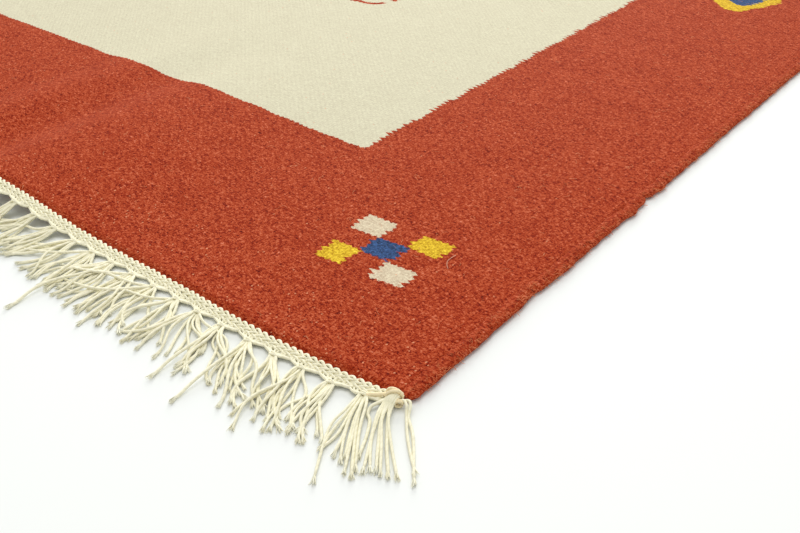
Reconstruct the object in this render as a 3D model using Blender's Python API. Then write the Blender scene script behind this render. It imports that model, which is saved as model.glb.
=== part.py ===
"""Flat-woven kilim rug, lying on a floor.

Five pieces: the woven wool web with its selvedges, a twined cotton band along each end,
and a knotted cotton fringe beyond each band.  X runs across the rug (weft), Y along it
(warp), Z up.  The origin is on the floor under the middle of the rug.
"""
import math

import bmesh
import bpy

# ---- the rug, in metres -----------------------------------------------------------------
RUG_WIDTH = 1.20            # selvedge to selvedge
RUG_LENGTH = 1.80           # woven wool, end band to end band
WEB_THICK = 0.0040
GAP = 0.0003                # clearance between neighbouring pieces

SELVEDGE_THICK = 0.0050     # the weft turns round doubled edge warps
SELVEDGE_WIDTH = 0.0080
SELVEDGE_ROUND = 0.0022     # from the widest point in to full thickness

BAND_WIDTH = 0.0105         # twined cotton heading
BAND_THICK = 0.0042

# ---- fringe -------------------------------------------------------------------------------
SPINE_WIDTH = 0.0035        # the row of knots, close against the band
SPINE_THICK = 0.0030
BUNDLES = 47                # knotted bundles between the two corner ones
FIRST_BUNDLE = 0.027        # from the selvedge
CORNER_BUNDLE = 0.010       # from the selvedge
KNOT_WIDTH = 0.0050
FAN_WIDTH = 0.0130          # a bundle's strands, spread near their ends
TIP_THICK = 0.0018          # one strand lying on the floor
FRINGE_LENGTH = 0.050
CORNER_LENGTH = 0.064

# How far the bundles lean from straight out, read across the front end from its right
# corner; positive leans towards that corner.
SWEEP_COLUMNS = ("from_corner", "lean_deg")
SWEEP = (
    (0.000, 30.0),
    (0.080, 32.0),
    (0.180, 22.0),
    (0.260, 2.0),
    (0.360, -12.0),
    (0.440, 8.0),
    (0.620, 14.0),
    (0.860, -10.0),
    (1.060, -4.0),
    (1.200, -28.0),
)

# Soft ripples that lift the front end off the floor.  Each falls away to nothing at its
# reach along the rug, and at its own half width on either side of the crest.
RIPPLE_COLUMNS = ("crest_x", "half_left", "half_right", "height", "reach")
RIPPLES = (
    (0.135, 0.055, 0.180, 0.0120, 0.46),
    (0.025, 0.055, 0.055, 0.0080, 0.48),
    (-0.340, 0.110, 0.090, 0.0040, 0.30),
)

# The shape of each end's outline near its corners: the corner is drawn in by its tied
# edge warps, and the web bows out a little beside it.
CORNER_COLUMNS = ("end", "side", "drawn_in", "bow")
CORNERS = (
    ("front", 1, 0.0065, 0.0028),
    ("front", -1, 0.0050, 0.0020),
    ("back", 1, 0.0045, 0.0024),
    ("back", -1, 0.0060, 0.0018),
)
DRAW_REACH = 0.030
BOW_PLACE = 0.120
BOW_REACH = 0.070

END_SIGN = {"front": -1, "back": 1}

RED_WOOL = {"color": (0.48, 0.065, 0.028, 1.0), "roughness": 0.95}
COTTON = {"color": (0.80, 0.74, 0.58, 1.0), "roughness": 0.90}


def rows(columns, table):
    """Yield each row of a table as a dictionary by column name."""
    for row in table:
        yield dict(zip(columns, row))


def bump(distance, half_width):
    """A smooth hill: 1 at its middle, 0 from half_width on."""
    share = min(abs(distance) / half_width, 1.0)
    return math.cos(0.5 * math.pi * share) ** 2


def lift(x, y):
    """Height of the rug's underside above the floor."""
    height = 0.0
    inward = max(y + 0.5 * RUG_LENGTH, 0.0)
    for ripple in rows(RIPPLE_COLUMNS, RIPPLES):
        across = x - ripple["crest_x"]
        half_width = ripple["half_right"] if across > 0 else ripple["half_left"]
        height += ripple["height"] * bump(across, half_width) * bump(inward, ripple["reach"])
    return height


def end_line(end, x):
    """Y of the web's edge at one end."""
    y = 0.5 * RUG_LENGTH
    for corner in rows(CORNER_COLUMNS, CORNERS):
        if corner["end"] == end:
            from_corner = 0.5 * RUG_WIDTH - corner["side"] * x
            y -= corner["drawn_in"] * math.exp(-from_corner / DRAW_REACH)
            y += corner["bow"] * math.exp(-(((from_corner - BOW_PLACE) / BOW_REACH) ** 2))
    return END_SIGN[end] * y


def lean_at(end, x):
    """Lean of the bundles from straight out, in radians, positive towards +X."""
    turn = 1 if end == "front" else -1
    from_corner = 0.5 * RUG_WIDTH - turn * x
    previous, following = SWEEP[0], SWEEP[-1]
    for low, high in zip(SWEEP, SWEEP[1:]):
        if low[0] <= from_corner <= high[0]:
            previous, following = low, high
    share = (from_corner - previous[0]) / (following[0] - previous[0])
    return turn * math.radians(previous[1] + share * (following[1] - previous[1]))


def even_steps(start, stop, step):
    """Values from start up to but not including stop, about one step apart."""
    count = max(1, round((stop - start) / step))
    return [start + (stop - start) * index / count for index in range(count)]


def column_places():
    """X of the web's grid lines: close together over the ripples and at the selvedges."""
    edge = 0.5 * RUG_WIDTH
    inner = edge - SELVEDGE_WIDTH
    middle = (
        even_steps(-inner, -0.46, 0.060)
        + even_steps(-0.46, -0.24, 0.037)
        + even_steps(-0.24, -0.04, 0.050)
        + even_steps(-0.04, 0.32, 0.0225)
        + even_steps(0.32, inner, 0.055)
        + [inner]
    )
    return [-edge, -edge + SELVEDGE_ROUND] + middle + [edge - SELVEDGE_ROUND, edge]


def row_places():
    """Y of the web's grid lines: close together where the front end ripples."""
    edge = 0.5 * RUG_LENGTH
    return even_steps(-edge, -0.42, 0.040) + even_steps(-0.42, edge - 0.12, 0.110) + [edge - 0.06, edge]


def selvedge_section(x):
    """Thickness of the web at x, and how far its underside curls up off the floor."""
    inward = 0.5 * RUG_WIDTH - abs(x)
    if inward < 0.5 * SELVEDGE_ROUND:
        return 0.40 * SELVEDGE_THICK, 0.30 * SELVEDGE_THICK
    if inward < 0.5 * (SELVEDGE_ROUND + SELVEDGE_WIDTH):
        return SELVEDGE_THICK, 0.0
    return WEB_THICK, 0.0


def thicken(sheet, underside, thickness):
    """Close a flat sheet into a solid between its underside and its top."""
    lower = sheet.verts[:]
    extruded = bmesh.ops.extrude_face_region(sheet, geom=sheet.faces[:])["geom"]
    upper = [item for item in extruded if isinstance(item, bmesh.types.BMVert)]
    for vertex in upper:
        vertex.co.z = underside(vertex.co.x, vertex.co.y) + thickness(vertex.co.x, vertex.co.y)
    for vertex in lower:
        vertex.co.z = underside(vertex.co.x, vertex.co.y)
    bmesh.ops.recalc_face_normals(sheet, faces=sheet.faces[:])


def finish_piece(name, sheet, finish):
    """Turn the finished bmesh into a named object with its own material."""
    bmesh.ops.triangulate(sheet, faces=sheet.faces[:])
    mesh = bpy.data.meshes.new(name)
    sheet.to_mesh(mesh)
    sheet.free()
    material = bpy.data.materials.new(name + "_finish")
    material.use_nodes = True
    shader = material.node_tree.nodes["Principled BSDF"]
    shader.inputs["Base Color"].default_value = finish["color"]
    shader.inputs["Roughness"].default_value = finish["roughness"]
    shader.inputs["Metallic"].default_value = 0.0
    mesh.materials.append(material)
    piece = bpy.data.objects.new(name, mesh)
    bpy.context.scene.collection.objects.link(piece)


def make_web():
    """The woven wool web, selvedge to selvedge, lying flat but for its ripples."""
    columns, lines = column_places(), row_places()
    sheet = bmesh.new()
    bmesh.ops.create_grid(sheet, x_segments=len(columns) - 1, y_segments=len(lines) - 1, size=0.5)
    for vertex in sheet.verts:
        column = round((vertex.co.x + 0.5) * (len(columns) - 1))
        line = round((vertex.co.y + 0.5) * (len(lines) - 1))
        x, y = columns[column], lines[line]
        end = "front" if y < 0 else "back"
        outline = end_line(end, x) - END_SIGN[end] * 0.5 * RUG_LENGTH
        nearness = max(0.0, 1.0 - (0.5 * RUG_LENGTH - abs(y)) / BOW_PLACE)
        vertex.co = (x, y + outline * nearness, 0.0)

    def underside(x, y):
        return lift(x, y) + selvedge_section(x)[1]

    def thickness(x, _y):
        return selvedge_section(x)[0]

    thicken(sheet, underside, thickness)
    finish_piece("woven_web", sheet, RED_WOOL)


def strip(places, end, inner_offset, width):
    """A one-quad-wide strip that follows one end's line, as an open flat sheet."""
    sign = END_SIGN[end]
    sheet = bmesh.new()
    start = [sheet.verts.new((x, end_line(end, x) + sign * inner_offset, 0.0)) for x in places]
    edges = [sheet.edges.new(pair) for pair in zip(start, start[1:])]
    outer = []
    extruded = bmesh.ops.extrude_edge_only(sheet, edges=edges)["geom"]
    for item in extruded:
        if isinstance(item, bmesh.types.BMVert):
            item.co.y += sign * width
        if isinstance(item, bmesh.types.BMEdge):
            outer.append(item)
    return sheet, outer


def make_band(end):
    """The twined cotton band that locks the last wool weft in."""
    sheet, _ = strip(column_places()[1:-1], end, GAP, BAND_WIDTH)

    def thickness(_x, _y):
        return BAND_THICK

    thicken(sheet, lift, thickness)
    finish_piece("end_band_" + end, sheet, COTTON)


def bundle_places():
    """X of every knotted bundle, with its length, from one corner to the other."""
    edge = 0.5 * RUG_WIDTH
    pitch = (RUG_WIDTH - 2 * FIRST_BUNDLE) / (BUNDLES - 1)
    inner = [(-edge + FIRST_BUNDLE + pitch * index, FRINGE_LENGTH) for index in range(BUNDLES)]
    corner = edge - CORNER_BUNDLE
    return [(-corner, CORNER_LENGTH)] + inner + [(corner, CORNER_LENGTH)]


def extrude_bundle(sheet, edge, end, x, length):
    """Draw one bundle out of the spine: narrow at its knot, fanned towards its ends."""
    sign, lean = END_SIGN[end], lean_at(end, x)
    middle_y = sum(vertex.co.y for vertex in edge.verts) / 2
    for share, width in ((0.30, 0.70 * FAN_WIDTH), (0.70, FAN_WIDTH), (1.0, 0.80 * FAN_WIDTH)):
        out = bmesh.ops.extrude_edge_only(sheet, edges=[edge])["geom"]
        ends = [item for item in out if isinstance(item, bmesh.types.BMVert)]
        edge = next(item for item in out if isinstance(item, bmesh.types.BMEdge))
        ends.sort(key=lambda vertex: vertex.co.x)
        for vertex, side in zip(ends, (-1, 1)):
            reach = share * length
            vertex.co.x = x + reach * math.sin(lean) + side * 0.5 * width * math.cos(lean)
            vertex.co.y = middle_y + sign * (
                reach * math.cos(lean) - side * 0.5 * width * math.sin(lean)
            )


def make_fringe(end):
    """All of one end's knotted bundles as one comb, its spine the row of knots."""
    places = []
    for x, _ in bundle_places():
        places += [x - 0.5 * KNOT_WIDTH, x + 0.5 * KNOT_WIDTH]
    sheet, outer = strip(places, end, BAND_WIDTH + 2 * GAP, SPINE_WIDTH)
    for x, length in bundle_places():
        root = min(outer, key=lambda edge: abs(sum(v.co.x for v in edge.verts) / 2 - x))
        extrude_bundle(sheet, root, end, x, length)

    def beyond_spine(x, y):
        spine_edge = abs(end_line(end, x)) + BAND_WIDTH + 2 * GAP + SPINE_WIDTH
        return min(max((abs(y) - spine_edge) / (0.7 * FRINGE_LENGTH), 0.0), 1.0)

    def underside(x, y):
        return lift(x, y) * (1.0 - beyond_spine(x, y)) ** 2

    def thickness(x, y):
        return SPINE_THICK + (TIP_THICK - SPINE_THICK) * beyond_spine(x, y)

    thicken(sheet, underside, thickness)
    finish_piece("fringe_" + end, sheet, COTTON)


def main():
    for leftover in list(bpy.data.objects):
        bpy.data.objects.remove(leftover)
    make_web()
    for end in END_SIGN:
        make_band(end)
        make_fringe(end)


main()
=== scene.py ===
"""Looks of a flat-woven kilim rug lying on a white floor.

Wool web with a chart of borders and motifs, wool selvedges, twined cotton headings, and
knotted cotton fringes.  X runs along the weft, Y along the warp, Z up, in metres.
"""
import math
import random

import bpy
import numpy as np
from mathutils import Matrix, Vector, noise


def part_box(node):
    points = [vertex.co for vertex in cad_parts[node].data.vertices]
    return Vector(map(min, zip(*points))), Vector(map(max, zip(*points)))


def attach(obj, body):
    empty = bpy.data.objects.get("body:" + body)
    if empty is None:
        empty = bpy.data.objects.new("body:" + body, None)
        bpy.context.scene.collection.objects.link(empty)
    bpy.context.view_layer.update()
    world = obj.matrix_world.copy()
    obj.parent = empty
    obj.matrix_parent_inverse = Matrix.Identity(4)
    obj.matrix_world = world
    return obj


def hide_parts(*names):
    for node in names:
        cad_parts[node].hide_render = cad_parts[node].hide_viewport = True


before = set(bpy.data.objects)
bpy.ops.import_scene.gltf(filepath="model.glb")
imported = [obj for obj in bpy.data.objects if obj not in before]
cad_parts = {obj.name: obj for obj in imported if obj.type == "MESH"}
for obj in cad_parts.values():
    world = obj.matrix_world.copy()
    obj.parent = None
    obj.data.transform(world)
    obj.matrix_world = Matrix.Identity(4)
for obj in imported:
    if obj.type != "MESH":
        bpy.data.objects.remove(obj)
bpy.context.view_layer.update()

web_low, web_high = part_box("woven_web")

# ---- sizes that the frame was built to ----------------------------------------------------
RUG_WIDTH = web_high[0] - web_low[0]
RUG_LENGTH = 1.80
WEB_THICK = 0.0040
END_SIGN = {"front": -1, "back": 1}

# Soft ripples that lift the front end off the floor.
RIPPLE_COLUMNS = ("crest_x", "half_left", "half_right", "height", "reach")
RIPPLES = (
    (0.135, 0.055, 0.180, 0.0120, 0.46),
    (0.025, 0.055, 0.055, 0.0080, 0.48),
    (-0.340, 0.110, 0.090, 0.0040, 0.30),
)

# Each corner is drawn in by its tied edge warps, and the web bows out a little beside it.
CORNER_COLUMNS = ("end", "side", "drawn_in", "bow")
CORNERS = (
    ("front", 1, 0.0065, 0.0028),
    ("front", -1, 0.0050, 0.0020),
    ("back", 1, 0.0045, 0.0024),
    ("back", -1, 0.0060, 0.0018),
)
DRAW_REACH = 0.030
BOW_PLACE = 0.120
BOW_REACH = 0.070

# ---- the weave ------------------------------------------------------------------------------
STITCH_WIDTH = 0.0032       # one warp
STITCH_LENGTH = 0.0061      # one stitch; its neighbours are half a stitch further on
YARN = 0.0015               # the yarns side by side in a stitch
TOOTH_DEPTH = 0.0050        # dovetailed colour joins, one tooth to a stitch
SCALLOP = 0.0006            # colour changes along the weft rise and dip from warp to warp

# ---- the chart, measured from the middle of the rug -----------------------------------------
FIELD_HALF_X = 0.350
FIELD_HALF_Y = 0.646
CHECK_X, CHECK_Y = 0.0280, 0.0238           # one check of a corner motif
CORNER_MOTIF_X, CORNER_MOTIF_Y = 0.4745, 0.7690
CORNER_MOTIF_SLANT = 0.055
SIDE_MOTIF_X = 0.4635
SIDE_MOTIF_COLUMNS = ("half_y", "tip", "outer_slope", "inner_slope", "outer_widest", "inner_widest")
SIDE_MOTIF = (0.0660, 0.0090, 0.48, 1.00, 0.0405, 0.0400)
SIDE_HEART = (0.0390, 0.0065, 0.55, 1.30, 0.0195, 0.0245)
MIDDLE_MOTIF = (0.0660, 0.0090, 0.70, 0.70, 0.0400, 0.0400)
MIDDLE_HEART = (0.0390, 0.0065, 0.90, 0.90, 0.0220, 0.0220)
FIGURE_HALF_Y = 0.3335
FIGURE_TIP = 0.1120
FIGURE_STEP = (0.0330, 0.0660)              # outward and along
FIGURE_LINE = (0.0095, 0.0070)              # along the sides and across the ends
FIGURE_ROUND = (0.080, 24.0)                # each end's bar curves inward from here on
FIGURE_GAP = (0.3015, 0.3135)               # the line is left open beside each end
FIGURE_BAR = 0.1055

# ---- cotton -----------------------------------------------------------------------------------
STRAND_RADIUS = 0.00106
PLY_PITCH = 0.0056
TWINE_PITCH = 0.0128        # two stitches to a turn, each over two warps
KNOT_OUT = 0.0120           # from the web's end to the knots
BUNDLES = 47
FIRST_BUNDLE = 0.027
STRANDS = 9
FRAY_FIBRES = 13
FRAY_BACK = 0.0030           # fibres start this far behind the strand's end
FRAY_RADII = (0.00042, 0.00036, 0.00018)

# The bundles by the front right corner, from the corner on: how far each one's knot is from
# the selvedge, its lean at the knot and at its tips (positive towards the corner), its
# length beyond the knot, and how wide its strands fan out.
BUNDLE_COLUMNS = ("from_edge", "root_lean", "tip_lean", "length", "fan")
BUNDLES_CHARTED = (
    (0.028, 12, 28, 0.052, 26),
    (0.052, 8, 40, 0.052, 30),
    (0.077, 15, 36, 0.053, 34),
    (0.101, 33, 40, 0.051, 16),
    (0.125, 22, 54, 0.052, 36),
    (0.152, 12, 42, 0.053, 44),
    (0.177, 25, 30, 0.050, 50),
    (0.201, 15, -6, 0.049, 44),
    (0.226, 2, 26, 0.050, 64),
    (0.251, 8, 2, 0.050, 52),
    (0.276, -4, -6, 0.050, 52),
    (0.300, 8, 0, 0.048, 50),
    (0.323, -18, -34, 0.047, 46),
    (0.349, -24, -42, 0.047, 44),
    (0.375, -28, -42, 0.046, 44),
    (0.402, -32, -44, 0.047, 46),
    (0.428, -36, -48, 0.047, 46),
    (0.454, -38, -50, 0.046, 44),
    (0.480, -34, -48, 0.047, 46),
    (0.505, -32, -44, 0.048, 44),
    (0.531, -34, -46, 0.047, 46),
)

# Single strands that stray from the bundles above, which are counted from the corner.
STRAY_COLUMNS = ("bundle", "root_lean", "tip_lean", "length")
STRAYS = (
    (3, 16, 8, 0.068),
    (5, 30, 28, 0.063),
    (5, 4, 14, 0.070),
    (6, 6, 14, 0.064),
    (7, -30, -52, 0.058),
    (8, -44, -70, 0.060),
    (9, -40, -84, 0.078),
    (9, -56, -80, 0.070),
    (10, 14, 16, 0.064),
    (10, -50, -78, 0.062),
    (11, -2, -6, 0.083),
    (12, -46, -70, 0.064),
    (13, -10, -2, 0.050),
    (15, -50, -66, 0.058),
)

# Strands charted one by one, in millimetres inward of the selvedge and beyond the web's end:
# where each passes on its way from the knot, where it bends, and its tip.
LAID_COLUMNS = ("via_side", "via_end", "bend_side", "bend_end", "tip_side", "tip_end")
FIRST_STRANDS = (
    (27.5, 26, 24.5, 45, 5, 80),
    (26.0, 26, 21.5, 45, 19, 59),
    (24.0, 26, 19.0, 44, 17, 57),
    (22.5, 25, 16.0, 42, 9, 56),
    (21.5, 24, 13.0, 43, 3, 60),
    (20.5, 23, 10.0, 42, -6, 65),
    (20.0, 24, 11.5, 40, 1, 55),
    (19.0, 22, 8.0, 41, -10, 64),
    (18.5, 16, 9.5, 34, -9, 59),
)
CORNER_STRANDS = (
    (9.8, 17, 0.5, 32, -13, 57),
    (8.2, 18, -2.5, 35, -16, 54),
    (5.5, 18, -6.5, 36, -20, 52),
    (3.7, 18, -9.5, 36, -23, 53),
    (1.5, 18, -12.0, 35, -27, 50),
    (0.2, 18, -14.0, 33, -31, 48),
)
CORNER_TIES = (
    (-4.6, 5.4, -18.0, 22, -37, 40),
    (-7.4, 5.6, -20.0, 18, -43, 46),
)

# One long cream hair lies by the corner motif: inward of the selvedge and of the web's end.
LONG_HAIR_COLUMNS = ("inward", "from_end")
LONG_HAIR = (
    (0.0755, 0.1580),
    (0.0762, 0.1540),
    (0.0756, 0.1473),
    (0.0727, 0.1426),
    (0.0693, 0.1392),
)

# ---- finishes, as linear colours ---------------------------------------------------------------
RED = (0.388, 0.0495, 0.0126, 1.0)
ECRU = (0.616, 0.583, 0.423, 1.0)
YELLOW = (0.662, 0.428, 0.0225, 1.0)
BLUE = (0.031, 0.075, 0.187, 1.0)
WHITE = (0.638, 0.538, 0.376, 1.0)
COTTON = (0.905, 0.862, 0.645, 1.0)
TANNED_COTTON = (0.900, 0.770, 0.495, 1.0)
FLECK = (0.740, 0.320, 0.170, 1.0)
PALE_COTTON = (0.950, 0.930, 0.760, 1.0)
FLOOR_WHITE = (0.838, 0.856, 0.828, 1.0)

# Each kind of loose hair, from its darker to its lighter colour.
HAIR_COLORS = {
    "web_hair": ((0.66, 0.18, 0.07, 1.0), (0.92, 0.44, 0.23, 1.0)),
    "edge_hair": ((0.56, 0.10, 0.035, 1.0), (0.82, 0.30, 0.13, 1.0)),
    "cream_hair": ((0.72, 0.42, 0.27, 1.0), (0.88, 0.62, 0.44, 1.0)),
}


# ---- the rug's lie ------------------------------------------------------------------------------
def rows(columns, table):
    """Each row of a table as a dictionary by column name."""
    return [dict(zip(columns, row)) for row in table]


def bump(distance, half_width):
    """A smooth hill: 1 at its middle, 0 from half_width on."""
    share = min(abs(distance) / half_width, 1.0)
    return math.cos(0.5 * math.pi * share) ** 2


def lift(x, y):
    """Height of the rug's underside above the floor."""
    height = 0.0
    inward = max(y + 0.5 * RUG_LENGTH, 0.0)
    for ripple in rows(RIPPLE_COLUMNS, RIPPLES):
        across = x - ripple["crest_x"]
        half_width = ripple["half_right"] if across > 0 else ripple["half_left"]
        height += ripple["height"] * bump(across, half_width) * bump(inward, ripple["reach"])
    return height


def end_line(end, x):
    """Y of the web's edge at one end."""
    y = 0.5 * RUG_LENGTH
    for corner in rows(CORNER_COLUMNS, CORNERS):
        if corner["end"] == end:
            from_corner = 0.5 * RUG_WIDTH - corner["side"] * x
            y -= corner["drawn_in"] * math.exp(-from_corner / DRAW_REACH)
            y += corner["bow"] * math.exp(-(((from_corner - BOW_PLACE) / BOW_REACH) ** 2))
    return END_SIGN[end] * y


def on_web(x, y):
    """A place of the flat cut web, moved by the bow of the ends."""
    end = "front" if y < 0 else "back"
    outline = end_line(end, x) - END_SIGN[end] * 0.5 * RUG_LENGTH
    nearness = max(0.0, 1.0 - (0.5 * RUG_LENGTH - abs(y)) / BOW_PLACE)
    return y + outline * nearness


def wander(place, size, seed):
    """Smooth seeded noise from -1 to 1 over features of one size."""
    return noise.noise(Vector(place) / size + Vector((seed, 3.7 * seed, 1.3 * seed)))


# ---- meshes -------------------------------------------------------------------------------------
class Yarns:
    """Gathers many tubes into one mesh with a UV map: u once round, v metres along."""

    def __init__(self, name):
        self.name = name
        self.points = []
        self.faces = []
        self.uvs = []
        self.count = 0

    def add(self, path, radii, sides=6, capped=True):
        """Sweep a ring along a path of points, with one radius for each point."""
        path = np.asarray(path, dtype=float)
        radii = np.broadcast_to(np.asarray(radii, dtype=float), (len(path),))
        tangents = np.gradient(path, axis=0)
        tangents /= np.linalg.norm(tangents, axis=1)[:, None]
        side = np.cross(tangents, (0.0, 0.0, 1.0))
        flat = np.linalg.norm(side, axis=1) < 1e-3
        side[flat] = (1.0, 0.0, 0.0)
        side /= np.linalg.norm(side, axis=1)[:, None]
        above = np.cross(side, tangents)
        angles = np.arange(sides) * 2 * math.pi / sides
        ring = (
            np.cos(angles)[None, :, None] * side[:, None, :]
            + np.sin(angles)[None, :, None] * above[:, None, :]
        )
        points = path[:, None, :] + ring * radii[:, None, None]
        along = np.concatenate([[0.0], np.cumsum(np.linalg.norm(np.diff(path, axis=0), axis=1))])
        self._strip(points, along, sides)
        if capped:
            last = self.count - sides
            first = self.count - sides * len(path)
            self._cap([first + index for index in range(sides)], along[0])
            self._cap([last + index for index in reversed(range(sides))], along[-1])

    def _strip(self, points, along, sides):
        """Join rings of points into a tube's wall."""
        start = self.count
        self.points.append(points.reshape(-1, 3))
        self.count += points.shape[0] * sides
        for ring in range(points.shape[0] - 1):
            for index in range(sides):
                following = (index + 1) % sides
                low, high = start + ring * sides, start + (ring + 1) * sides
                self.faces.append((low + index, high + index, high + following, low + following))
                u0, u1 = index / sides, (index + 1) / sides
                v0, v1 = along[ring], along[ring + 1]
                self.uvs.extend(((u0, v0), (u0, v1), (u1, v1), (u1, v0)))

    def _cap(self, corners, v):
        self.faces.append(tuple(corners))
        self.uvs.extend((index / len(corners), v) for index in range(len(corners)))

    def finish(self, material):
        """Make the piece."""
        mesh = bpy.data.meshes.new(self.name)
        mesh.from_pydata(np.concatenate(self.points).tolist(), [], self.faces)
        mesh.uv_layers.new(name="along_yarn")
        mesh.uv_layers[0].data.foreach_set("uv", np.asarray(self.uvs, dtype=np.float32).ravel())
        return link_piece(self.name, mesh, material)


def link_piece(name, mesh, material):
    """Link a finished mesh as a smooth-shaded piece at the origin."""
    mesh.materials.append(material)
    mesh.shade_smooth()
    mesh.update()
    piece = bpy.data.objects.new(name, mesh)
    bpy.context.scene.collection.objects.link(piece)
    return piece


def curve_through(points, steps):
    """A smooth path (Catmull-Rom) through a few points, with a number of steps to each span."""
    points = [np.asarray(point, dtype=float) for point in points]
    padded = [2 * points[0] - points[1]] + points + [2 * points[-1] - points[-2]]
    path = []
    for before, start, end, after in zip(padded, padded[1:], padded[2:], padded[3:]):
        for step in range(steps):
            t = step / steps
            path.append(
                0.5 * (2 * start + (end - before) * t
                       + (2 * before - 5 * start + 4 * end - after) * t ** 2
                       + (3 * start - before - 3 * end + after) * t ** 3)
            )
    path.append(points[-1])
    return path


# ---- materials ------------------------------------------------------------------------------------
class Wiring:
    """Adds nodes to one tree; a number or a socket may feed any input."""

    def __init__(self, tree):
        self.tree = tree

    def feed(self, socket, value):
        if isinstance(value, bpy.types.NodeSocket):
            self.tree.links.new(value, socket)
        else:
            socket.default_value = value

    def node(self, kind, inputs=(), **settings):
        made = self.tree.nodes.new("ShaderNode" + kind)
        for setting, value in settings.items():
            setattr(made, setting, value)
        for socket, value in dict(inputs).items():
            self.feed(made.inputs[socket], value)
        return made

    def math(self, operation, *values):
        made = self.node("Math", operation=operation)
        for socket, value in zip(made.inputs, values):
            self.feed(socket, value)
        return made.outputs[0]

    def total(self, *values):
        result = values[0]
        for value in values[1:]:
            result = self.math("ADD", result, value)
        return result

    def both(self, *masks):
        result = masks[0]
        for mask in masks[1:]:
            result = self.math("MULTIPLY", result, mask)
        return result

    def minus(self, value, other):
        return self.math("SUBTRACT", value, other)

    def times(self, value, other):
        return self.math("MULTIPLY", value, other)

    def over(self, value, other):
        return self.math("DIVIDE", value, other)

    def power(self, value, exponent):
        return self.math("POWER", value, exponent)

    def positive(self, value):
        return self.math("ABSOLUTE", value)

    def less(self, value, limit):
        return self.math("LESS_THAN", value, limit)

    def more(self, value, limit):
        return self.math("GREATER_THAN", value, limit)

    def stretch(self, vector, factors):
        """A place with each of its coordinates multiplied by its own factor."""
        return self.node("VectorMath", {0: vector, 1: factors}, operation="MULTIPLY").outputs[0]

    def vector(self, x, y, z=0.0):
        made = self.node("CombineXYZ", {"X": x, "Y": y, "Z": z})
        return made.outputs[0]

    def split(self, vector):
        made = self.node("SeparateXYZ", {"Vector": vector})
        return made.outputs[0], made.outputs[1]

    def noise(self, vector, scale, detail=2.0, roughness=0.5):
        feeds = {"Vector": vector, "Scale": scale, "Detail": detail, "Roughness": roughness}
        return self.node("TexNoise", feeds).outputs["Fac"]

    def random(self, vector):
        return self.node("TexWhiteNoise", {"Vector": vector}, noise_dimensions="3D").outputs["Value"]

    def blend(self, mask, below, above, kind="MIX"):
        made = self.node("Mix", data_type="RGBA", blend_type=kind)
        for socket, value in zip((made.inputs[0], made.inputs[6], made.inputs[7]), (mask, below, above)):
            self.feed(socket, value)
        return made.outputs[2]

    def spread(self, value, low, high, to_low=0.0, to_high=1.0):
        """Map a value from one range to another, held at its ends."""
        feeds = {"Value": value, "From Min": low, "From Max": high, "To Min": to_low, "To Max": to_high}
        return self.node("MapRange", feeds).outputs["Result"]


def new_group(name, inputs, outputs):
    """A shader node group with named sockets, and the wiring and nodes to fill it."""
    group = bpy.data.node_groups.new(name, "ShaderNodeTree")
    for socket, kind in inputs:
        group.interface.new_socket(socket, in_out="INPUT", socket_type="NodeSocket" + kind)
    for socket, kind in outputs:
        group.interface.new_socket(socket, in_out="OUTPUT", socket_type="NodeSocket" + kind)
    source = group.nodes.new("NodeGroupInput")
    target = group.nodes.new("NodeGroupOutput")
    return group, Wiring(group), source.outputs, target.inputs


def place_group(wiring, group, inputs):
    """Place a group in a material and return its outputs."""
    made = wiring.tree.nodes.new("ShaderNodeGroup")
    made.node_tree = group
    for socket, value in inputs.items():
        wiring.feed(made.inputs[socket], value)
    return made.outputs


def new_material(name, roughness, sheen=0.0):
    """A material with its Principled BSDF set for matt yarn."""
    material = bpy.data.materials.new(name)
    material.use_nodes = True
    shader = material.node_tree.nodes["Principled BSDF"]
    shader.inputs["Roughness"].default_value = roughness
    shader.inputs["Specular IOR Level"].default_value = 0.06
    shader.inputs["Sheen Weight"].default_value = sheen
    shader.inputs["Sheen Roughness"].default_value = 0.6
    return material, Wiring(material.node_tree), shader


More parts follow.
